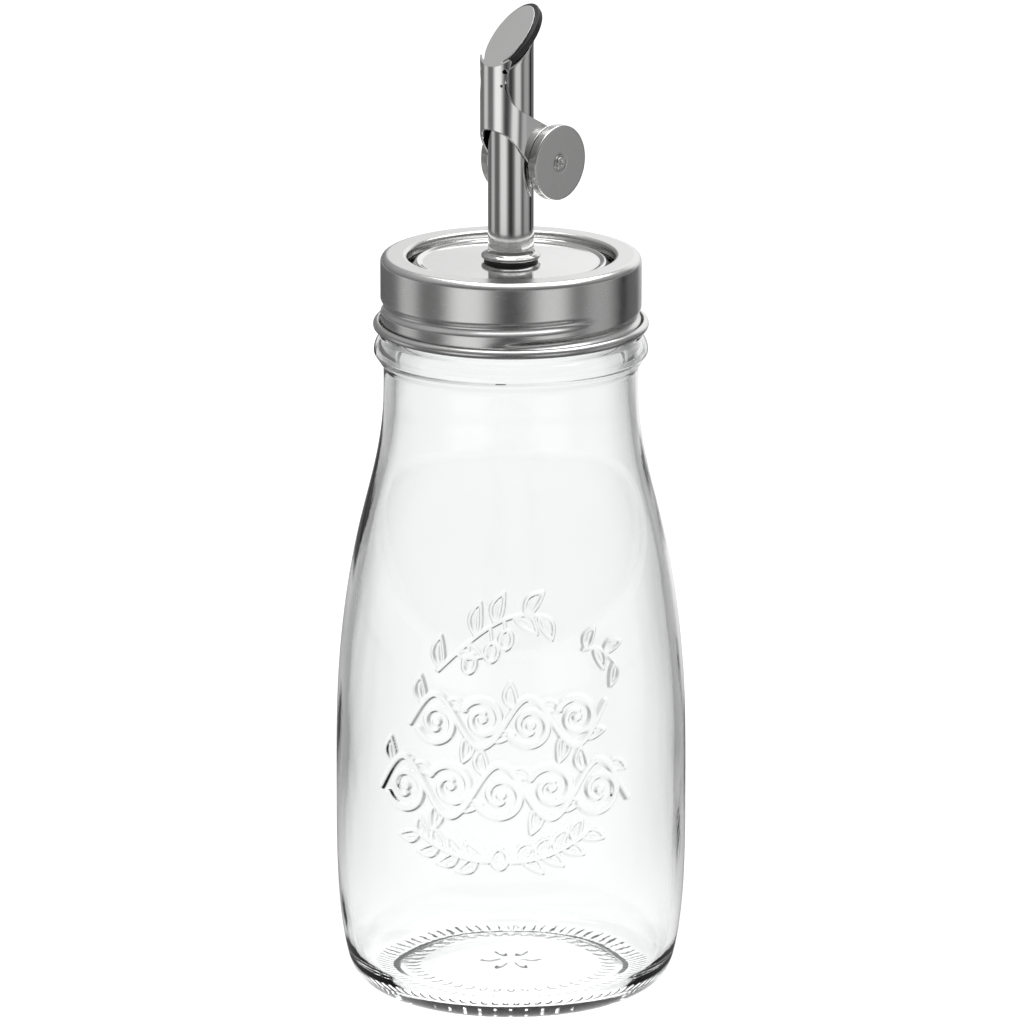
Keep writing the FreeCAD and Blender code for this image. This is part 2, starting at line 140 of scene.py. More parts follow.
def spline(points, t0, t1, step):
    """Cubic curve through points with unit end tangents, sampled every step."""
    p = np.array(points, float)
    h = np.linalg.norm(np.diff(p, axis=0), axis=1)
    n = len(p)
    a = np.zeros((n, n))
    b = np.zeros((n, 2))
    a[0, 0] = a[-1, -1] = 1.0
    b[0] = t0
    b[-1] = t1
    for i in range(1, n - 1):
        a[i, i - 1] = h[i]
        a[i, i] = 2 * (h[i - 1] + h[i])
        a[i, i + 1] = h[i - 1]
        b[i] = 3 * (h[i] * (p[i] - p[i - 1]) / h[i - 1]
                    + h[i - 1] * (p[i + 1] - p[i]) / h[i])
    m = np.linalg.solve(a, b)
    out = []
    for i in range(n - 1):
        count = max(2, int(h[i] / step))
        for k in range(count):
            t = k / count
            out.append((1 + 2 * t) * (1 - t) ** 2 * p[i] + t * (1 - t) ** 2 * h[i] * m[i]
                       + t * t * (3 - 2 * t) * p[i + 1]
                       + t * t * (t - 1) * h[i] * m[i + 1])
    out.append(p[-1])
    return np.array(out)


MAX_STEP = 0.2              # radians turned by one step of a rounded corner


def fillet_path(corners, n):
    """Points of an (r, z) path whose corners (r, z, radius) are rounded.

    A rounded corner has n steps, or more where it turns far.
    """
    out = []
    last = len(corners) - 1
    for i, (r, z, radius) in enumerate(corners):
        here = np.array((r, z))
        if i in (0, last) or radius <= 0:
            out.append(here)
            continue
        u = here - np.array(corners[i - 1][:2])
        v = np.array(corners[i + 1][:2]) - here
        u = u / np.linalg.norm(u)
        v = v / np.linalg.norm(v)
        turn = math.acos(max(-1.0, min(1.0, float(u @ v))))
        reach = radius * math.tan(turn / 2)
        a = here - u * reach
        bend = 1.0 if u[0] * v[1] - u[1] * v[0] > 0 else -1.0
        centre = a + bend * radius * np.array((-u[1], u[0]))
        start = a - centre
        count = max(n, int(turn / MAX_STEP))
        for k in range(count + 1):
            w = bend * turn * k / count
            out.append(centre + np.array((start[0] * math.cos(w) - start[1] * math.sin(w),
                                          start[0] * math.sin(w) + start[1] * math.cos(w))))
    return np.array(out)


def refine(path, step):
    """Same path with no stretch longer than step."""
    out = [path[0]]
    for a, b in zip(path[:-1], path[1:]):
        count = max(1, int(math.ceil(np.linalg.norm(b - a) / step)))
        for k in range(1, count + 1):
            out.append(a + (b - a) * k / count)
    return np.array(out)


EDGE_OUT = 0.22             # how far a sheet's rounded edge stands out, of its thickness
EDGE_FLAT = 0.45            # how much of the thickness stays flat there


def sheet_loop(path, t):
    """Closed section of a sheet of thickness t whose middle is path."""
    p = np.asarray(path)
    d = np.gradient(p, axis=0)
    d /= np.linalg.norm(d, axis=1)[:, None]
    n = np.stack([-d[:, 1], d[:, 0]], 1) * t / 2
    out = t * EDGE_OUT
    first = [p[0] - n[0] * EDGE_FLAT - d[0] * out, p[0] + n[0] * EDGE_FLAT - d[0] * out]
    end = [p[-1] + n[-1] * EDGE_FLAT + d[-1] * out, p[-1] - n[-1] * EDGE_FLAT + d[-1] * out]
    return np.vstack([first, p + n, end, (p - n)[::-1]])


def mesh_object(name, points, quads, tris=()):
    """Smooth-shaded object from millimetre points and index arrays."""
    points = np.asarray(points, np.float64) * MM
    quads = np.asarray(quads, np.int32).reshape(-1, 4)
    tris = np.asarray(tris, np.int32).reshape(-1, 3)
    v = points[quads]
    volume = np.einsum("ij,ij->i", v[:, 0], np.cross(v[:, 1], v[:, 2])).sum()
    volume += np.einsum("ij,ij->i", v[:, 0], np.cross(v[:, 2], v[:, 3])).sum()
    if volume < 0:
        quads = quads[:, ::-1]
        tris = tris[:, ::-1]
    mesh = bpy.data.meshes.new(name)
    mesh.vertices.add(len(points))
    mesh.vertices.foreach_set("co", points.ravel())
    index = np.concatenate([quads.ravel(), tris.ravel()])
    mesh.loops.add(len(index))
    mesh.loops.foreach_set("vertex_index", index)
    starts = np.concatenate([np.arange(len(quads)) * 4,
                             len(quads) * 4 + np.arange(len(tris)) * 3])
    mesh.polygons.add(len(starts))
    mesh.polygons.foreach_set("loop_start", starts.astype(np.int32))
    mesh.update(calc_edges=True)
    mesh.validate()
    mesh.shade_smooth()
    obj = bpy.data.objects.new(name, mesh)
    bpy.context.scene.collection.objects.link(obj)
    return obj


def grid_quads(rows, cols, close_rows):
    """Quads of a grid whose columns wrap round; rows wrap if close_rows."""
    r = np.arange(rows if close_rows else rows - 1)
    c = np.arange(cols)
    a = r[:, None] * cols + c[None, :]
    b = r[:, None] * cols + (c[None, :] + 1) % cols
    r2 = (r + 1) % rows
    d = r2[:, None] * cols + c[None, :]
    e = r2[:, None] * cols + (c[None, :] + 1) % cols
    return np.stack([a, b, e, d], -1).reshape(-1, 4)


def swept(section, angles, shape):
    """Millimetre points of an (r, z) section at each angle about Z.

    shape, if there is one, moves (r, z) by angle.
    """
    r = np.repeat(section[:, 0:1], len(angles), 1)
    z = np.repeat(section[:, 1:2], len(angles), 1)
    if shape is not None:
        r, z = shape(r, z, angles[None, :])
    return np.stack([r * np.cos(angles), r * np.sin(angles), z], -1).reshape(-1, 3)


def turned(name, section, count, shape=None):
    """Turn a closed (r, z) section about Z."""
    angles = np.linspace(0, TAU, count, endpoint=False)
    return mesh_object(name, swept(section, angles, shape),
                       grid_quads(len(section), count, True))


def poled(name, section, angles, shape=None):
    """Like turned(), for a section that starts and ends on the axis."""
    body = section[1:-1]
    rows, cols = len(body), len(angles)
    top = [0.0, 0.0, section[0, 1]]
    low = [0.0, 0.0, section[-1, 1]]
    points = np.vstack([swept(body, angles, shape), [top, low]])
    c = np.arange(cols)
    n = (c + 1) % cols
    base = (rows - 1) * cols
    fan = np.stack([np.full(cols, rows * cols), n, c], 1)
    fan_low = np.stack([np.full(cols, rows * cols + 1), base + c, base + n], 1)
    return mesh_object(name, points, grid_quads(rows, cols, False),
                       np.vstack([fan, fan_low]))


def placed(obj, matrix):
    """Move an object's mesh, given in metres, by matrix."""
    obj.data.transform(matrix)
    return obj


TURN = Matrix.Rotation(POUR_TURN, 4, "Z")


def put(obj, body, slot, material, *nodes):
    """Give a piece its material, hang it under its body's empty and hide the CAD parts it takes
    the place of.
    """
    obj.data.materials.clear()
    obj.data.materials.append(material)
    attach(obj, body)
    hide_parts(*nodes)
    return obj


# ---- node materials -----------------------------------------------------
class Nodes:
    """Small helper that adds and joins shader nodes."""

    def __init__(self, tree):
        self.tree = tree
        tree.nodes.clear()

    def add(self, kind, **values):
        node = self.tree.nodes.new(kind)
        for key, value in values.items():
            setattr(node, key, value)
        return node

    def link(self, a, b):
        self.tree.links.new(a, b)

    def math(self, op, a, b=None):
        node = self.add("ShaderNodeMath", operation=op)
        for socket, value in zip(node.inputs, (a, b)):
            if value is None:
                continue
            if isinstance(value, (int, float)):
                socket.default_value = value
            else:
                self.link(value, socket)
        return node.outputs[0]

    def noise(self, vector, scale, detail=2.0, rough=0.5):
        node = self.add("ShaderNodeTexNoise")
        node.inputs["Scale"].default_value = scale
        node.inputs["Detail"].default_value = detail
        node.inputs["Roughness"].default_value = rough
        self.link(vector, node.inputs["Vector"])
        return node.outputs["Fac"]

    def spread(self, value, low, high, to_low, to_high):
        node = self.add("ShaderNodeMapRange")
        node.inputs["From Min"].default_value = low
        node.inputs["From Max"].default_value = high
        node.inputs["To Min"].default_value = to_low
        node.inputs["To Max"].default_value = to_high
        self.link(value, node.inputs["Value"])
        return node.outputs["Result"]

    def ramp(self, value, stops, mode="LINEAR"):
        node = self.add("ShaderNodeValToRGB")
        node.color_ramp.interpolation = mode
        elements = node.color_ramp.elements
        while len(elements) > 1:
            elements.remove(elements[-1])
        elements[0].position = stops[0][0]
        elements[0].color = stops[0][1]
        for place, colour in stops[1:]:
            elements.new(place).color = colour
        self.link(value, node.inputs["Fac"])
        return node.outputs["Color"]

    def window(self, value, rise, fall):
        """1 between two soft ends, each given as (from, to)."""
        return self.math("MULTIPLY", self.spread(value, *rise, 0.0, 1.0),
                         self.spread(value, *fall, 1.0, 0.0))

    def bump(self, height, strength, distance, normal=None):
        node = self.add("ShaderNodeBump")
        node.inputs["Strength"].default_value = strength
        node.inputs["Distance"].default_value = distance
        self.link(height, node.inputs["Height"])
        if normal is not None:
            self.link(normal, node.inputs["Normal"])
        return node.outputs["Normal"]


def grain_vector(n, grain, centre, turn, fine, along):
    """Coordinates stretched along the direction in which a surface is brushed.

    grain is "round" about Z, "round_y" about the pivot direction, or "up".
    """
    at = n.add("ShaderNodeTexCoord").outputs["Object"]
    shift = n.add("ShaderNodeMapping", vector_type="TEXTURE")
    shift.inputs["Location"].default_value = centre
    shift.inputs["Rotation"].default_value = (0.0, 0.0, turn)
    n.link(at, shift.inputs["Vector"])
    axes = n.add("ShaderNodeSeparateXYZ")
    n.link(shift.outputs["Vector"], axes.inputs[0])
    x, y, z = axes.outputs
    if grain == "round_y":
        y, z = z, y
    if grain in ("round", "round_y"):
        radius = n.math("SQRT", n.math("ADD", n.math("MULTIPLY", x, x),
                                       n.math("MULTIPLY", y, y)))
        angle = n.math("ARCTAN2", y, x)
        parts = (n.math("MULTIPLY", radius, fine), n.math("MULTIPLY", angle, along),
                 n.math("MULTIPLY", z, fine))
    else:
        parts = (n.math("MULTIPLY", x, fine), n.math("MULTIPLY", y, fine),
                 n.math("MULTIPLY", z, along * 12))
    out = n.add("ShaderNodeCombineXYZ")
    for socket, value in zip(out.inputs, parts):
        n.link(value, socket)
    return at, out.outputs[0]


def steel(name, colour, rough, grain="round", centre=(0, 0, 0), turn=0.0, fine=9000.0,
          along=7.0, marks=0.12, tint=0.06, bevel=0.0, groove=0.00002):
    """Brushed or polished stainless steel."""
    mat = bpy.data.materials.new(name)
    mat.use_nodes = True
    n = Nodes(mat.node_tree)
    out = n.add("ShaderNodeOutputMaterial")
    bsdf = n.add("ShaderNodeBsdfPrincipled")
    n.link(bsdf.outputs[0], out.inputs["Surface"])
    at, vector = grain_vector(n, grain, centre, turn, fine, along)
    lines = n.noise(vector, 1.0, 3.0, 0.6)
    clouds = n.noise(at, 55.0, 3.0, 0.55)
    smudge = n.noise(at, 260.0, 2.0, 0.5)
    wear = n.math("ADD", n.math("MULTIPLY", clouds, 0.6), n.math("MULTIPLY", smudge, 0.4))
    bsdf.inputs["Metallic"].default_value = 1.0
    dark = tuple(c * (1 - tint) for c in colour)
    light = tuple(min(1.0, c * (1 + tint)) for c in colour)
    shade = n.ramp(n.math("ADD", n.math("MULTIPLY", lines, 0.5), n.math("MULTIPLY", wear, 0.5)),
                   [(0.25, dark + (1,)), (0.75, light + (1,))])
    n.link(shade, bsdf.inputs["Base Color"])
    mixed = n.math("ADD", n.math("MULTIPLY", lines, 0.55), n.math("MULTIPLY", wear, 0.45))
    n.link(n.spread(mixed, 0.2, 0.8, rough * (1 - marks * 2.5), rough * (1 + marks * 2.5)),
           bsdf.inputs["Roughness"])
    normal = None
    if bevel:
        edge = n.add("ShaderNodeBevel", samples=6)
        edge.inputs["Radius"].default_value = bevel
        normal = edge.outputs["Normal"]
    n.link(n.bump(lines, marks, groove, normal), bsdf.inputs["Normal"])
    return mat


def rubber(name, colour, rough):
    """Matt rubber with a faint moulded grain and a little dust."""
    mat = bpy.data.materials.new(name)
    mat.use_nodes = True
    n = Nodes(mat.node_tree)
    out = n.add("ShaderNodeOutputMaterial")
    bsdf = n.add("ShaderNodeBsdfPrincipled")
    n.link(bsdf.outputs[0], out.inputs["Surface"])
    at = n.add("ShaderNodeTexCoord").outputs["Object"]
    fine = n.noise(at, 5200.0, 3.0, 0.6)
    dust = n.noise(at, 420.0, 4.0, 0.6)
    light = tuple(min(1.0, c * 2.2 + 0.012) for c in colour)
    n.link(n.ramp(dust, [(0.35, colour + (1,)), (0.8, light + (1,))]),
           bsdf.inputs["Base Color"])
    n.link(n.spread(dust, 0.3, 0.7, rough - 0.08, rough + 0.08), bsdf.inputs["Roughness"])
    bsdf.inputs["Specular IOR Level"].default_value = 0.4
    n.link(n.bump(fine, 0.25, 0.00004), bsdf.inputs["Normal"])
    return mat


def clear_glass(name):
    """Clear pressed glass, very slightly uneven."""
    mat = bpy.data.materials.new(name)
    mat.use_nodes = True
    n = Nodes(mat.node_tree)
    out = n.add("ShaderNodeOutputMaterial")
    bsdf = n.add("ShaderNodeBsdfPrincipled")
    n.link(bsdf.outputs[0], out.inputs["Surface"])
    bsdf.inputs["Base Color"].default_value = (0.965, 0.972, 0.97, 1)
    bsdf.inputs["Transmission Weight"].default_value = 1.0
    bsdf.inputs["IOR"].default_value = 1.5
    at = n.add("ShaderNodeTexCoord").outputs["Object"]
    stretch = n.add("ShaderNodeMapping")
    stretch.inputs["Scale"].default_value = (1.0, 1.0, 0.35)
    n.link(at, stretch.inputs["Vector"])
    slow = n.noise(stretch.outputs[0], 55.0, 2.0, 0.5)
    skin = n.noise(at, 900.0, 2.0, 0.5)
    height = n.math("ADD", slow, n.math("MULTIPLY", skin, 0.02))
    n.link(n.bump(height, 0.35, 0.0006), bsdf.inputs["Normal"])
    n.link(n.spread(skin, 0.35, 0.75, 0.0, 0.02), bsdf.inputs["Roughness"])
    return mat


GLASS = clear_glass("clear_pressed_glass")
BAND_STEEL = steel("satin_band_steel", (0.64, 0.64, 0.635), 0.24, marks=0.14)
LID_STEEL = steel("polished_lid_steel", (0.66, 0.66, 0.655), 0.08, fine=6000.0, marks=0.10)
TUBE_STEEL = steel("polished_tube_steel", (0.57, 0.57, 0.565), 0.10, grain="up",
                   fine=7000.0, along=6.0, marks=0.12)
FLAP_STEEL = steel("bent_sheet_steel", (0.70, 0.70, 0.695), 0.14, grain="up", fine=5200.0,
                   along=9.0, marks=0.12, bevel=0.00012)
INNER_STEEL = steel("plain_fitting_steel", (0.58, 0.58, 0.575), 0.28, fine=6000.0, marks=0.14)
PAD_RUBBER = rubber("black_pad_rubber", (0.012, 0.012, 0.012), 0.5)
SEAL_RUBBER = rubber("pale_seal_rubber", (0.62, 0.61, 0.57), 0.6)


# ---- pressed ornament on the glass --------------------------------------
# a stroke is (points, start width, end width, height), in millimetres
TALL = 0.48                 # height of the stems and tendrils
LEAFY = 0.36                # height of leaves and twigs


def turn_flat(angle):
    """Matrix that turns rows of flat points by an angle in degrees."""
    c, s = math.cos(math.radians(angle)), math.sin(math.radians(angle))
    return np.array([[c, s], [-s, c]])


def leaf(base, angle, length, width):
    """Outline and vein of one leaf; angles in degrees, lengths in mm."""
    t = np.linspace(0, 1, 15)
    half = width / 2 * np.sin(math.pi * t ** 0.85) ** 0.9
    bend = 0.10 * length * np.sin(math.pi * t)
    side_a = np.stack([length * t, bend + half], 1)
    side_b = np.stack([length * t, bend - half], 1)[::-1]
    vein = np.stack([length * t[1:11], bend[1:11]], 1)
    turn = turn_flat(angle)
    outline = np.vstack([side_a, side_b]) @ turn + base
    return [(outline, 0.8, 0.8, LEAFY), (vein @ turn + base, 0.55, 0.35, 0.25)]


def olive(centre, angle, length=4.2, width=2.9):
    """Outline of one fruit with a short highlight line."""
    t = np.linspace(0, TAU, 25)
    ring = np.stack([length / 2 * np.cos(t), width / 2 * np.sin(t)], 1)
    turn = turn_flat(angle)
    glint = np.stack([length * 0.28 * np.cos(t[3:9]), width * 0.28 * np.sin(t[3:9])], 1)
    return [(ring @ turn + centre, 0.85, 0.85, 0.38), (glint @ turn + centre, 0.45, 0.45, 0.2)]


def spiral(centre, radius, start, turns, wide):
    """Tendril that winds inwards; start in degrees, turns signed."""
    t = np.linspace(0, 1, 60)
    a = math.radians(start) + TAU * turns * t
    r = radius * (1 - t) ** 0.9 + 1.5 * t
    points = np.stack([r * np.cos(a), r * np.sin(a)], 1) + centre
    return (points, wide, wide * 0.6, TALL)


def along(points, share):
    """Point and heading (degrees) at a share of a polyline's length."""
    i = min(len(points) - 2, int(share * (len(points) - 1)))
    d = points[i + 1] - points[i]
    return points[i], math.degrees(math.atan2(d[1], d[0]))


def vine(start, mid, tall, half, count, wide):
    """Running vine: a waved stem with a tendril curled into each hollow."""
    out = []
    s = np.linspace(start - 0.1 * half, start + half * (count + 0.2), 40 * count)
    stem = np.stack([s, mid + tall * np.sin(math.pi * (s - start) / half)], 1)
    out.append((stem, wide * 0.7, wide * 0.8, TALL))
    for k in range(count):
        up = 1 if k % 2 == 0 else -1
        centre = np.array((start + half * (k + 0.52), mid - up * tall * 0.12))
        out.append(spiral(centre, tall * 0.86, 180 + 28 * up, 1.22 * up, wide))
        out.append((np.stack([centre, centre + (0.3, 0.2)]), 1.9, 1.9, 0.45))
        share = (0.1 + k + 0.22) / (count + 0.3)
        base, heading = along(stem, share)
        out += leaf(base, heading + up * 46, 6.0, 2.7)
        base, heading = along(stem, min(0.99, share + 0.52 / (count + 0.3)))
        out += leaf(base, heading + up * 30, 5.0, 2.2)
    return out


def ornament():
    """Strokes of the whole ornament, laid flat: arc length and height."""
    out = vine(-22.5, 71.0, 5.6, 10.6, 4, 1.8)
    out += vine(-30.5, 55.2, 6.2, 11.2, 5, 1.9)
    # sprig above
    t = np.linspace(0, 1, 40)
    twig = np.stack([-17 + 25 * t, 82.0 + 13.0 * np.sin(1.9 * t)], 1)
    out.append((twig, 1.1, 0.7, LEAFY))
    for share, side, size in ((0.05, 1, 7), (0.2, -1, 6.0), (0.36, 1, 7.5), (0.55, 1, 7),
                              (0.74, -1, 6.5), (0.84, 1, 6.5), (0.97, -1, 6)):
        base, heading = along(twig, share)
        out += leaf(base, heading + side * 48, size, 2.9)
    for share, drop in ((0.3, 4.6), (0.5, 5.6), (0.62, 4.4)):
        base, _heading = along(twig, share)
        out.append((np.stack([base, base + (0.4, -drop + 2)]), 0.6, 0.6, 0.3))
        out += olive(base + np.array((0.4, -drop)), 78)
    # small sprig on the right
    small = np.stack([17 + 9 * t, 86.5 - 5.5 * t + 2.2 * np.sin(3 * t)], 1)
    out.append((small, 0.9, 0.6, 0.32))
    for share, side in ((0.1, 1), (0.35, -1), (0.6, 1), (0.9, -1)):
        base, heading = along(small, share)
        out += leaf(base, heading + side * 55, 5.2, 2.3)
    # garland below
    for side in (-1, 1):
        u = np.linspace(0, 1, 60)
        arm = np.stack([-2.5 + side * (2.6 + 16.5 * u), 39.6 + 5.0 * u * u], 1)
        out.append((arm, 1.9, 1.0, TALL))
        for share, up in ((0.08, 1), (0.16, -1), (0.34, 1), (0.42, -1), (0.6, 1),
                          (0.68, -1), (0.86, 1), (0.97, -1)):
            base, heading = along(arm, share)
            out += leaf(base, heading + side * up * 42, 5.4, 2.4)
    out += olive(np.array((-2.5, 39.8)), 90, 4.6, 3.4)
    return out


RELIEF_EDGE = 0.44          # width of a stroke's sloping edge
RELIEF_SCALE = 1.35         # on the strokes' heights


def relief(s, z):
    """Height of the ornament over a grid of arc length s and height z."""
    height = np.zeros_like(s)
    for points, wide_a, wide_b, rise in ornament():
        margin = max(wide_a, wide_b)
        lo = points.min(0) - margin
        hi = points.max(0) + margin
        rows = np.where((z[:, 0] > lo[1]) & (z[:, 0] < hi[1]))[0]
        cols = np.where((s[0] > lo[0]) & (s[0] < hi[0]))[0]
        if len(rows) == 0 or len(cols) == 0:
            continue
        window = np.ix_(rows, cols)
        ps, pz = s[window], z[window]
        best = np.zeros_like(ps)
        count = len(points) - 1
        for i in range(count):
            a, b = points[i], points[i + 1]
            d = b - a
            length = float(d @ d) + 1e-9
            t = np.clip(((ps - a[0]) * d[0] + (pz - a[1]) * d[1]) / length, 0, 1)
            gap = np.hypot(ps - a[0] - t * d[0], pz - a[1] - t * d[1])
            wide = wide_a + (wide_b - wide_a) * (i + t) / count
            best = np.maximum(best, smooth((wide / 2 - gap) / RELIEF_EDGE + 0.5))
        height[window] = np.maximum(height[window], best * rise * RELIEF_SCALE)
    return height


# ---- glass bottle -------------------------------------------------------
def arc3(a, mid, b, n):
    """n points of the arc through three (r, z) points."""
    a, mid, b = (np.array(p, float) for p in (a, mid, b))
    m = np.array([mid - a, b - a])
    rhs = np.array([(mid @ mid - a @ a) / 2, (b @ b - a @ a) / 2])
    c = np.linalg.solve(m, rhs)
    angles = [math.atan2(*(p - c)[::-1]) for p in (a, mid, b)]
    turn = (angles[2] - angles[0]) % TAU
    if (angles[1] - angles[0]) % TAU > turn:
        turn -= TAU
    w = angles[0] + turn * np.linspace(0, 1, n)
    return c + np.linalg.norm(a - c) * np.stack([np.cos(w), np.sin(w)], 1)


def dome(r, z_edge, z_top, n):
    """From the axis at z_top out to (r, z_edge) along a sphere."""
    rise = z_top - z_edge
    radius = (r * r + rise * rise) / (2 * rise)
    a = np.linspace(0, math.asin(r / radius), n)
    return np.stack([radius * np.sin(a), z_top - radius + radius * np.cos(a)], 1)


UNDER_ROWS = 76             # rows of the underside's dome
UNDER_EDGE = (25.4, 1.1)    # where the dome meets the standing ring
BEAD_CROWN_R = 29.0         # radius where the bead's crown ends
BEAD_FOOT = (27.4, 150.5)   # between the bead's shoulder and its fillet
FINISH_LOW_Z = 151.6
RIM_OUT_R = 0.8             # roundings of the rim
RIM_IN_R = 0.6
BORE_TOP_Z = 165.3
FRONT = 52.0                # degrees each side of -Y that carry the relief
FRONT_STEP = 0.36           # degrees between columns there
BACK_COLUMNS = 444
RELIEF_R = 39.0             # radius at which the relief's arc length is taken
RELIEF_LOW, RELIEF_HIGH = 34.0, 101.0
THREAD_LOW, THREAD_HIGH = 151.0, 165.3
THREAD_SINK = 0.12          # keeps the thread's edge below the plain wall
THREAD_END_R = 27.0         # radius at which the thread's rounded ends are measured
WAVY_LOW, WAVY_HIGH, WAVY_FADE = 8.0, 140.0, 12.0


def underside():
    """From the axis out to the start of the heel."""
    inner, outer = (FOOT_IN_R, 0.0), (FOOT_R, 0.0)
    return np.vstack([dome(*UNDER_EDGE, PUSH_UP, UNDER_ROWS),
                      arc3(UNDER_EDGE, (26.4, 0.35), inner, 9)[1:],
                      refine(np.array([inner, outer]), 0.4)[1:-1]])


def bead_profile():
    """Handling bead, from the neck up to the plain finish."""
    lean = math.radians(BEAD_LEAN)
    low = arc(NECK_R + BEAD_LOW_R, NECK_TOP_Z, BEAD_LOW_R, 180, 180 - BEAD_LEAN, 7)
    cone_r = BEAD_R - BEAD_CORNER_R * (1 - math.cos(lean))
    cone_z = low[-1][1] + (cone_r - low[-1][0]) / math.tan(lean)
    corner = arc(BEAD_R - BEAD_CORNER_R, cone_z + BEAD_CORNER_R * math.sin(lean),
                 BEAD_CORNER_R, -BEAD_LEAN, 0, 7)
    rise = BEAD_TOP_Z - corner[-1][1]
    fall = BEAD_R - BEAD_CROWN_R
    crown_r = (fall * fall + rise * rise) / (2 * fall)
    crown = arc(BEAD_R - crown_r, corner[-1][1], crown_r, 0,
                math.degrees(math.asin(rise / crown_r)), 14)
    return np.vstack([
        low[1:], refine(np.array([low[-1], corner[0]]), 0.5)[1:-1], corner, crown[1:],
        arc3((BEAD_CROWN_R, BEAD_TOP_Z), (28.0, 150.15), BEAD_FOOT, 6)[1:],
        arc3(BEAD_FOOT, (26.95, 151.0), (FINISH_R, FINISH_LOW_Z), 6)[1:]])


def outer_profile():
    """Outside of the glass, from the heel up to the rim.

    The wall keeps every point where the relief is, and one in five elsewhere.
    """
    lean = math.radians(HEEL_LEAN)
    heel = arc(FOOT_R, HEEL_R, HEEL_R, -90, -HEEL_LEAN, 28)
    wall = spline([heel[-1]] + BODY + [(NECK_R, NECK_TOP_Z)],
                  (math.sin(lean), math.cos(lean)), (0, 1), 0.26)
    keep = [p for i, p in enumerate(wall)
            if RELIEF_LOW - 1 < p[1] < RELIEF_HIGH or i % 5 == 0]
    finish = refine(np.array([(FINISH_R, FINISH_LOW_Z), (FINISH_R, RIM_Z - RIM_OUT_R)]), 0.25)
    rim = arc(FINISH_R - RIM_OUT_R, RIM_Z - RIM_OUT_R, RIM_OUT_R, 0, 90, 7)
    return np.vstack([heel, keep[1:], bead_profile(), finish[1:-1], rim])


def inner_profile():
    """Inside of the glass, from the rim down to the axis."""
    floor_r, floor_z = INSIDE_LOW[-1]
    rise = 2 * math.atan((FLOOR_Z - floor_z) / floor_r)
    rim = arc(MOUTH_R + RIM_IN_R, RIM_Z - RIM_IN_R, RIM_IN_R, 90, 180, 6)
    bore = refine(np.array([(MOUTH_R, BORE_TOP_Z), INSIDE_NECK[0]]), 1.5)
    neck = spline(INSIDE_NECK, (0, -1), (0, -1), 0.5)
    shoulder = [(r - WALL, z) for r, z in reversed(BODY[1:])]
    wall = spline(INSIDE_NECK[-1:] + shoulder + INSIDE_LOW, (0, -1),
                  (-math.cos(rise), math.sin(rise)), 1.0)
    floor = dome(floor_r, floor_z, FLOOR_Z, 18)[::-1]
    return np.vstack([rim, bore[:-1], neck[:-1], wall, floor[1:]])


def from_nearest(a, count):
    """Angle from the nearest of count evenly spaced marks."""
    step = TAU / count
    return (a + step / 2) % step - step / 2


def cut_knurls(r, z, a):
    """Grip grooves under the standing ring, following the start of the heel."""
    rows = np.where((r[:, 0] > 25.8) & (r[:, 0] < 34.0) & (z[:, 0] < 1.6))[0]
    t = r[rows] * np.abs(from_nearest(a, KNURLS))
    lean = math.radians(KNURL_LEAN)
    bed = (HEEL_R * (1 - math.cos(lean))
           + (r[rows] - FOOT_R - HEEL_R * math.sin(lean)) * math.tan(lean))
    groove = bed - (KNURL_R - KNURL_DEPTH) + np.sqrt(np.maximum(KNURL_R ** 2 - t * t, 0))
    z[rows] = np.where(t < KNURL_HALF, np.maximum(z[rows], groove), z[rows])


def press_underside(r, z, a):
    """A ring of seeds and a small rosette in the underside."""
    rows = np.arange(UNDER_ROWS)
    out = r[rows]
    for count, middle, long, wide in ((44, 22.0, 1.5, 0.75), (6, 4.6, 2.0, 0.9)):
        gap = np.sqrt(((out - middle) / long) ** 2
                      + (out * from_nearest(a, count) / wide) ** 2)
        z[rows] -= 0.32 * smooth((1.15 - gap) / 0.5)


def thread_gap(z, a):
    """Squared distance from each point to the glass thread's centre line."""
    top_deg = THREAD_TOP_DEG + GLASS_LEAD_DEG
    low_deg = top_deg - 360 * GLASS_THREAD_TURNS
    top_z = THREAD_TOP_Z + PITCH / 2 + PITCH * GLASS_LEAD_DEG / 360
    best = np.full(z.shape, 1e6)
    for k in range(-3, 3):
        place = np.degrees(a) + 360 * k
        over = np.maximum(place - top_deg, 0) + np.maximum(low_deg - place, 0)
        drop = z - (top_z - PITCH * (top_deg - np.clip(place, low_deg, top_deg)) / 360)
        best = np.minimum(best, drop ** 2 + (np.radians(over) * THREAD_END_R) ** 2)
    return best


def raise_thread(r, z, a, outside):
    rows = np.where(outside & (z[:, 0] > THREAD_LOW) & (z[:, 0] < THREAD_HIGH))[0]
    ridge = np.sqrt(np.maximum(GLASS_RIDGE_R ** 2 - thread_gap(z[rows], a), 0))
    r[rows] = np.maximum(r[rows], GLASS_THREAD_R - THREAD_SINK + ridge)


def raise_relief(r, z, a, outside):
    rows = np.where(outside & (z[:, 0] > RELIEF_LOW) & (z[:, 0] < RELIEF_HIGH))[0]
    front = np.where(np.abs(a[0] + math.pi / 2) < math.radians(FRONT))[0]
    window = np.ix_(rows, front)
    s = np.broadcast_to(RELIEF_R * (a[:, front] + math.pi / 2), (len(rows), len(front)))
    r[window] += relief(s, z[window])


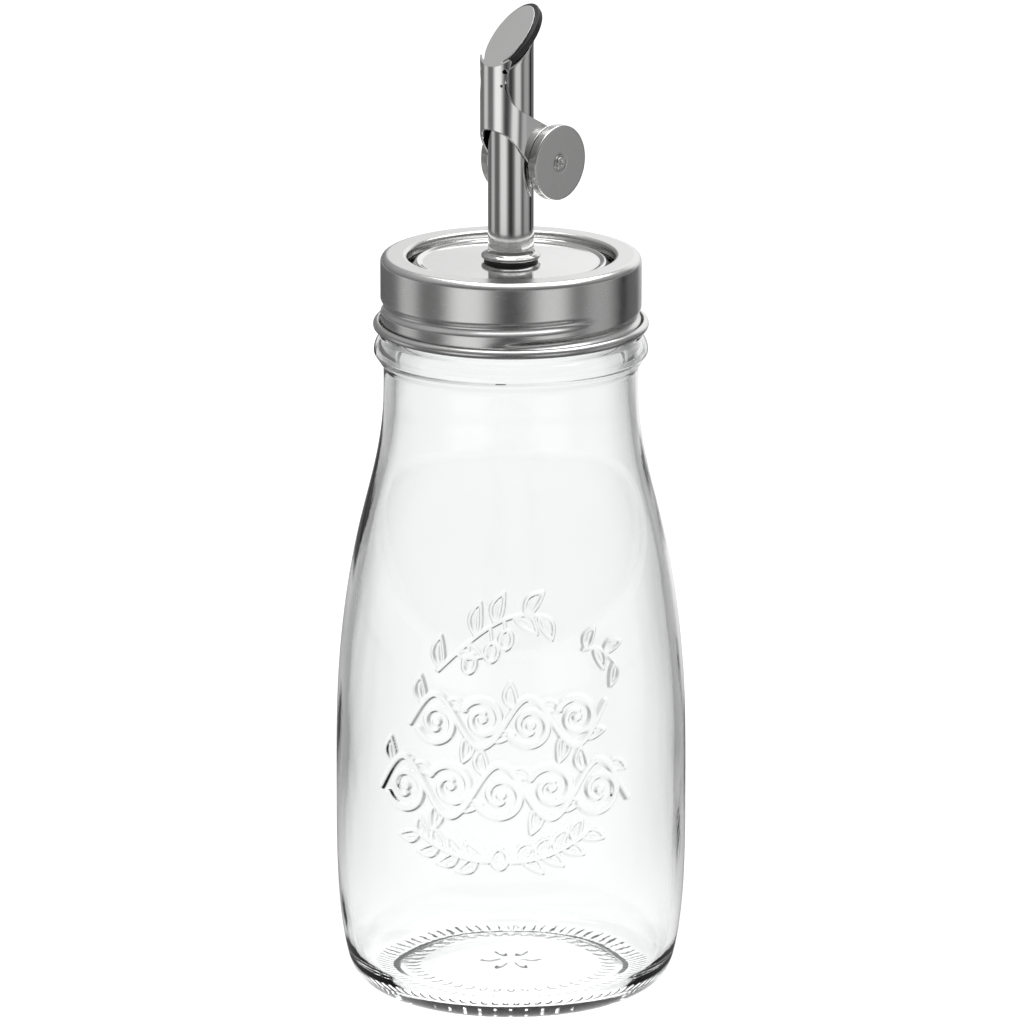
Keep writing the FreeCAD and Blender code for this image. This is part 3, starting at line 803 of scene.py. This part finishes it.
def unsettle_inside(r, z, a, outside):
    """The inside of moulded glass is never quite even."""
    rows = np.where(~outside & (z[:, 0] > WAVY_LOW) & (z[:, 0] < WAVY_HIGH))[0]
    height = z[rows]
    fade = (smooth((height - WAVY_LOW) / WAVY_FADE)
            * smooth((WAVY_HIGH - height) / WAVY_FADE))
    for size, lobes, climb, phase in ((0.10, 2, 19.0, 0.0), (0.07, 3, -11.0, 1.3),
                                      (0.045, 5, 7.5, 0.4)):
        r[rows] += size * np.sin(lobes * a + height / climb + phase) * fade


def glass_angles():
    """Columns close together across the relief, wider round the back."""
    fine = np.radians(np.arange(-90 - FRONT, -90 + FRONT, FRONT_STEP))
    rest = np.linspace(math.radians(FRONT - 90), math.radians(270 - FRONT), BACK_COLUMNS,
                       endpoint=False)
    return np.concatenate([fine, rest])


def glass_bottle():
    under, outer, inner = underside(), outer_profile(), inner_profile()
    section = np.vstack([under, outer, inner])
    # poled() leaves out the section's two points on the axis
    row = np.arange(1, len(section) - 1)
    outside = (row >= len(under)) & (row < len(under) + len(outer))

    def shape(r, z, a):
        cut_knurls(r, z, a)
        press_underside(r, z, a)
        raise_thread(r, z, a, outside)
        raise_relief(r, z, a, outside)
        unsettle_inside(r, z, a, outside)
        return r, z

    return poled("bottle_glass", section, glass_angles(), shape)


bottle = glass_bottle()
put(bottle, "bottle", "glass", GLASS, "glass_bottle")
bottle.visible_shadow = False


# ---- screw cap ----------------------------------------------------------
GROOVE_DEPTH = 0.86
GROOVE_RISE = -0.06         # from the CAD's groove
GROOVE_END = 4.0            # degrees past the CAD's groove at each end
GROOVE_FADE = 28.0          # degrees over which the groove fades out


def band_shape(r, z, a):
    """Rolled thread groove, fading out at both ends and above the curl."""
    rows = np.where((r[:, 0] > 28.2) & (r[:, 0] < 29.2) & (z[:, 0] > 152.0)
                    & (z[:, 0] < 161.5))[0]
    top = THREAD_TOP_DEG + GROOVE_END
    low = THREAD_TOP_DEG - BAND_THREAD_SWEEP - GROOVE_END
    depth = np.zeros((len(rows), a.shape[1]))
    for k in range(-3, 3):
        place = np.degrees(a) + 360 * k
        fade = smooth((place - low) / GROOVE_FADE) * smooth((top - place) / GROOVE_FADE)
        middle = THREAD_TOP_Z + GROOVE_RISE - PITCH * (THREAD_TOP_DEG - place) / 360
        hollow = np.exp(-((z[rows] - middle) ** 2 / 0.9) ** 1.3)
        depth = np.maximum(depth, GROOVE_DEPTH * fade * hollow)
    r[rows] -= depth * smooth((z[rows] - 152.3) / 0.7)
    return r, z


def screw_band():
    r_mid = BAND_R - BAND_T / 2
    top = BAND_TOP_Z - BAND_T / 2
    reach = r_mid + 2 * CURL_R
    path = fillet_path([
        (BAND_LIP_R, BAND_LIP_Z, 0),
        (BAND_LIP_R, top, 0.6),
        (r_mid, top, 1.35),
        (r_mid, CURL_Z, CURL_R),
        (reach, CURL_Z, CURL_R),
        (reach, CURL_Z + 2 * CURL_R, CURL_R),
        (r_mid + 0.72, CURL_Z + 2 * CURL_R, 0)], 9)
    return turned("band_sheet", sheet_loop(refine(path, 0.22), BAND_T), 480, band_shape)


PANEL_DISH = 0.24           # the disc's middle sinks this far at its edge


def lid_disc():
    half = LID_T / 2
    path = fillet_path([
        (LID_R - half, LID_TOP_Z - 1.2, 0),
        (LID_R - half, LID_TOP_Z - half, 0.35),
        (24.25, LID_TOP_Z - half, 0.35),
        (24.05, MOAT_TOP_Z - half, 0.45),
        (21.9, MOAT_TOP_Z - half, 0.45),
        (21.0, PANEL_TOP_Z + 0.2 - half, 0.45),
        (19.8, PANEL_TOP_Z - PANEL_DISH - half, 0.9),
        (LID_HOLE_R, PANEL_TOP_Z - half, 0)], 7)
    return turned("lid_sheet", sheet_loop(refine(path, 0.6), LID_T), 300)


put(screw_band(), "band", "band_steel", BAND_STEEL, "screw_band")
put(lid_disc(), "lid", "polished_steel", LID_STEEL, "lid_disc")


# ---- pouring tube -------------------------------------------------------
LEAN_FROM_Z = 200.0         # the tube's rows lean more and more from here up


def mouth_shape(r, z, a):
    """Lean the top of the tube to the flap's slope."""
    share = np.maximum(z - LEAN_FROM_Z, 0) / (TUBE_CUT_Z - LEAN_FROM_Z)
    return r, z + share * math.tan(SLOPE) * r * np.cos(a - POUR_TURN)


def pour_tube():
    low, top = TUBE_LOW_Z, TUBE_CUT_Z
    collar = fillet_path([
        (TUBE_R, 167.2, 0), (6.05, 167.1, 0.15), (COLLAR_R, 167.55, 0.28),
        (COLLAR_R, 168.1, 0.28), (6.0, 168.45, 0.2), (5.35, 168.6, 0.35),
        (TUBE_R, 169.5, 0)], 5)
    section = np.vstack([
        [(TUBE_BORE_R + 0.06, low), (TUBE_R - 0.06, low), (TUBE_R, low + 0.08)],
        refine(np.array([(TUBE_R, low + 0.3), (TUBE_R, 167.1)]), 1.5),
        collar,
        refine(np.array([(TUBE_R, 169.6), (TUBE_R, top - 0.17)]), 1.0),
        [(TUBE_R - 0.015, top - 0.08), (TUBE_R - 0.07, top - 0.01), (TUBE_R - 0.15, top),
         (TUBE_BORE_R + 0.15, top), (TUBE_BORE_R + 0.06, top - 0.02),
         (TUBE_BORE_R + 0.01, top - 0.1)],
        refine(np.array([(TUBE_BORE_R, top - 0.22), (TUBE_BORE_R, low + 0.1)]), 1.5)])
    return turned("tube_sheet", section, 144, mouth_shape)


put(pour_tube(), "lid", "polished_steel", TUBE_STEEL, "pour_tube")


# ---- flap, pad and counterweights ---------------------------------------
FULL_RING = np.linspace(0, TAU, 120, endpoint=False)
EDGE_R = 0.28               # rounding of the counterweights' edges


def on_slope():
    """From the pad's own place to the leaning flap, in metres."""
    lean = Matrix.Rotation(-SLOPE, 4, "Y")
    lift = Matrix.Translation(Vector((FACE_X, 0, FACE_Z)) * MM)
    return TURN @ lift @ lean


def flap_pad():
    """Rubber pad under the sheet, made round and then stretched to an oval."""
    top = -SHEET - 0.02
    low = -SHEET - PAD_T
    section = np.vstack([
        [(0, top), (2.5, top), (4.6, top), (PAD_WIDE - 0.25, top - 0.01)],
        arc(PAD_WIDE - 0.25, top - 0.26, 0.25, 75, 0, 5),
        refine(np.array([(PAD_WIDE, top - 0.38), (PAD_WIDE, low + 0.35)]), 0.4),
        arc(PAD_WIDE - 0.35, low + 0.35, 0.35, -10, -80, 6),
        [(4.6, low), (2.5, low), (0, low)]])
    shift = Matrix.Translation(Vector((PAD_SHIFT * MM, 0, 0)))
    stretch = Matrix.Diagonal((PAD_LONG / PAD_WIDE, 1, 1, 1))
    return placed(poled("pad_rubber", section, FULL_RING), on_slope() @ shift @ stretch)


def counterweight(name, side):
    """Turned disc with a shallow ring groove round its rivet."""
    half = DISC_T / 2
    edge = DISC_R - EDGE_R
    section = np.vstack([
        [(0, half), (1.2, half), (1.38, half - 0.02), (1.5, half - 0.1),
         (1.66, half - 0.12), (1.82, half - 0.1), (1.95, half - 0.02), (2.1, half)],
        refine(np.array([(2.6, half), (7.9, half)]), 0.8),
        arc(edge, half - EDGE_R, EDGE_R, 85, 5, 7),
        refine(np.array([(DISC_R, 0.7), (DISC_R, -0.7)]), 0.35),
        arc(edge, EDGE_R - half, EDGE_R, -5, -85, 7),
        refine(np.array([(7.9, -half), (0.4, -half)]), 0.8),
        [(0, -half)]])
    turn_out = Matrix.Rotation(-side * math.pi / 2, 4, "X")
    place = Matrix.Translation(Vector((DISC_X, side * (DISC_IN_Y + half), DISC_Z)) * MM)
    return placed(poled(name, section, FULL_RING), TURN @ place @ turn_out)


disc_centre = TURN @ Vector((DISC_X * MM, 0, DISC_Z * MM))
DISC_STEEL = steel("turned_weight_steel", (0.60, 0.60, 0.595), 0.22, grain="round_y",
                   centre=tuple(disc_centre), turn=POUR_TURN, fine=5000.0, along=5.0,
                   marks=0.14)
put(flap_pad(), "flap", "black_rubber", PAD_RUBBER, "flap_pad")
for side, name in ((1, "left"), (-1, "right")):
    disc = counterweight("weight_disc_" + name, side)
    put(disc, "flap", "weight_steel", DISC_STEEL, "counterweight_" + name)

# ---- CAD pieces that stay, with their finish ----------------------------
STUD_STEEL = steel("turned_stud_steel", (0.6, 0.6, 0.595), 0.2, grain="round_y",
                   centre=tuple(disc_centre), turn=POUR_TURN, fine=5000.0, bevel=0.0001)
kept = {
    "flap_lever": FLAP_STEEL,
    "pivot_stud_left": STUD_STEEL, "pivot_stud_right": STUD_STEEL,
    "rivet_left": STUD_STEEL, "rivet_right": STUD_STEEL,
    "air_tube": TUBE_STEEL, "lock_nut": INNER_STEEL,
    "tube_seal": SEAL_RUBBER, "collar_washer": PAD_RUBBER, "lid_gasket": SEAL_RUBBER,
}
for name, material in kept.items():
    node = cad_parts[name]
    node.data.materials.clear()
    node.data.materials.append(material)


# ---- floor, light and camera --------------------------------------------
FLOOR_DROP = 0.00004        # keeps the floor clear of the standing ring, metres
FLOOR_SIDE, FLOOR_BACK = 6, 9
CARD_SIDES = 96
CARD_INNER = (0.040, 0.00002)   # radius and height of the card's inner edge, metres
CARD_NEAR_R = 0.065             # from here on the card lies at its own height
CARD_OUTER_R = 2.4


def mesh_from(name, points, faces):
    mesh = bpy.data.meshes.new(name)
    mesh.from_pydata(points, [], faces)
    obj = bpy.data.objects.new(name, mesh)
    bpy.context.scene.collection.objects.link(obj)
    return obj


def floor_material():
    mat = bpy.data.materials.new("pale_floor")
    mat.use_nodes = True
    n = Nodes(mat.node_tree)
    out = n.add("ShaderNodeOutputMaterial")
    bsdf = n.add("ShaderNodeBsdfPrincipled")
    n.link(bsdf.outputs[0], out.inputs["Surface"])
    at = n.add("ShaderNodeTexCoord").outputs["Object"]
    n.link(n.ramp(n.noise(at, 3.0), [(0.2, (0.86, 0.86, 0.86, 1)), (0.8, (0.9, 0.9, 0.9, 1))]),
           bsdf.inputs["Base Color"])
    bsdf.inputs["Roughness"].default_value = 0.9
    bsdf.inputs["Specular IOR Level"].default_value = 0.0
    return mat


corners = ((-FLOOR_SIDE, -FLOOR_SIDE), (FLOOR_SIDE, -FLOOR_SIDE),
           (FLOOR_SIDE, FLOOR_BACK), (-FLOOR_SIDE, FLOOR_BACK))
floor = mesh_from("floor", [(x, y, -FLOOR_DROP) for x, y in corners], [(0, 1, 2, 3)])
floor.data.materials.append(floor_material())


def panels(base, boxes):
    """Stops of a ring with soft boxes and dark flags on an even base.

    boxes holds (direction, half width, light) in rising order, in degrees;
    the middle two fifths of a box have its full light.
    """
    stops = [(-180, base)]
    for centre, half, light in boxes:
        core = 0.4 * half
        stops += [(centre - half, base), (centre - core, light),
                  (centre + core, light), (centre + half, base)]
    return stops + [(180, base)]


def card_material(name, stops, near, far, behind, strip):
    mat = bpy.data.materials.new(name)
    mat.use_nodes = True
    n = Nodes(mat.node_tree)
    out = n.add("ShaderNodeOutputMaterial")
    glow = n.add("ShaderNodeEmission")
    n.link(glow.outputs[0], out.inputs["Surface"])
    axes = n.add("ShaderNodeSeparateXYZ")
    n.link(n.add("ShaderNodeTexCoord").outputs["Object"], axes.inputs[0])
    x, y, _z = axes.outputs
    angle = n.math("ARCTAN2", x, n.math("MULTIPLY", y, -1.0))
    share = n.spread(angle, -math.pi, math.pi, 0.0, 1.0)
    table = [((deg + 180) / 360, (light,) * 3 + (1,)) for deg, light in stops]
    shade = n.ramp(share, table)
    radius = n.math("SQRT", n.math("ADD", n.math("MULTIPLY", x, x),
                                   n.math("MULTIPLY", y, y)))
    mix = n.add("ShaderNodeMix", data_type="RGBA")
    n.link(n.spread(radius, near, far, 0.0, 1.0), mix.inputs["Factor"])
    mix.inputs["A"].default_value = (behind,) * 3 + (1,)
    n.link(shade, mix.inputs["B"])
    n.link(mix.outputs["Result"], glow.inputs["Color"])
    dark = n.window(radius, (0.60, 0.65), (0.675, 0.74))
    n.link(n.math("SUBTRACT", 1.0, n.math("MULTIPLY", dark, strip)), glow.inputs["Strength"])
    mat.cycles.emission_sampling = "NONE"
    return mat


def card(name, stops, height, **glow):
    """Flat ring of light on the floor, bright or dark by direction.

    stops holds (degrees from the camera's side, + to the right, light). The
    stops take over from the even light called behind between the radii near
    and far; strip is how much darker the ring is that the cap's upper edge
    reflects. Radii and height are in metres.
    """
    t = np.linspace(0, TAU, CARD_SIDES, endpoint=False)
    rings = (CARD_INNER, (CARD_NEAR_R, height), (CARD_OUTER_R, height))
    points = [(r * math.cos(v), r * math.sin(v), h) for r, h in rings for v in t]
    obj = mesh_from(name, points, grid_quads(len(rings), CARD_SIDES, False).tolist())
    obj.data.materials.append(card_material(name, stops, **glow))
    obj.visible_camera = False
    obj.visible_diffuse = False
    obj.visible_shadow = False
    obj.visible_volume_scatter = False
    return obj


# seen in reflections only
mirror_card = card("mirror_card", panels(0.2, [
    (-102, 18, 0.75), (-38, 26, 1.2), (-1, 11, 0.07), (35, 22, 1.0), (84, 22, 0.55),
    (115, 8, 0.01), (163, 16, 0.9)]), 0.0006, near=0.16, far=0.42, behind=0.16, strip=0.55)
mirror_card.visible_transmission = False

# seen through the glass only, the same to the left and to the right
SIDE_LIGHT = [(100, 0.68), (130, 0.33), (148, 0.51), (160, 0.85), (168, 1.04), (180, 1.06)]
through_card = card("through_card", [(-deg, light) for deg, light in SIDE_LIGHT[::-1]]
                    + [(0, 0.87)] + SIDE_LIGHT, 0.0012, near=0.05, far=0.2, behind=1.15,
                    strip=0.0)
through_card.visible_glossy = False


LAMP_PLACE = (0.5, 0.5, 2.2)
LAMP_SIDE = 2.6
LAMP_WATTS = 62.0
CAMERA_AWAY = 2.0           # metres from the bottle's axis
CAMERA_LIFT = math.radians(15)
CAMERA_AIM_Z = 0.1088
CAMERA_X = 0.00022


def top_light():
    data = bpy.data.lights.new("top_light", "AREA")
    data.shape = "RECTANGLE"
    data.size = LAMP_SIDE
    data.size_y = LAMP_SIDE
    data.energy = LAMP_WATTS
    obj = bpy.data.objects.new("top_light", data)
    obj.location = LAMP_PLACE
    obj.rotation_euler = Vector((0, 0, -1)).to_track_quat("-Z", "Y").to_euler()
    bpy.context.scene.collection.objects.link(obj)


def studio_world():
    """A pale sweep behind, brighter to the right, darker low in front."""
    world = bpy.data.worlds.new("studio")
    bpy.context.scene.world = world
    world.use_nodes = True
    n = Nodes(world.node_tree)
    out = n.add("ShaderNodeOutputWorld")
    background = n.add("ShaderNodeBackground")
    n.link(background.outputs[0], out.inputs["Surface"])
    axes = n.add("ShaderNodeSeparateXYZ")
    n.link(n.add("ShaderNodeTexCoord").outputs["Generated"], axes.inputs[0])
    x, y, z = axes.outputs
    across = n.math("DIVIDE", x, n.math("MAXIMUM", y, 0.05))
    side = n.window(across, (-0.14, 0.03), (0.7, 1.1))
    back = n.math("MULTIPLY", n.spread(y, 0.2, 0.4, 0.0, 1.0),
                  n.spread(z, 0.42, 0.55, 1.0, 0.0))
    sweep = n.math("MULTIPLY", side, back)
    front = n.math("MULTIPLY", n.spread(y, -0.35, -0.15, 1.0, 0.0),
                   n.window(z, (0.1, 0.2), (0.6, 0.75)))
    base = n.spread(z, 0.0, 0.85, 0.17, 0.62)
    shade = n.math("ADD", base, n.math("ADD", n.math("MULTIPLY", sweep, 0.9),
                                       n.math("MULTIPLY", front, -0.15)))
    n.link(shade, background.inputs["Strength"])
    background.inputs["Color"].default_value = (1, 1, 1, 1)


def photo_camera():
    data = bpy.data.cameras.new("camera")
    data.sensor_width = 36.0
    data.lens = 314.8
    data.clip_start = 0.05
    data.clip_end = 60
    eye = bpy.data.objects.new("camera", data)
    eye.location = (CAMERA_X, -CAMERA_AWAY * math.cos(CAMERA_LIFT),
                    CAMERA_AIM_Z + CAMERA_AWAY * math.sin(CAMERA_LIFT))
    eye.rotation_euler = (math.pi / 2 - CAMERA_LIFT, 0, 0)
    bpy.context.scene.collection.objects.link(eye)
    bpy.context.scene.camera = eye


top_light()
studio_world()
photo_camera()
bpy.context.scene.view_settings.view_transform = "Standard"
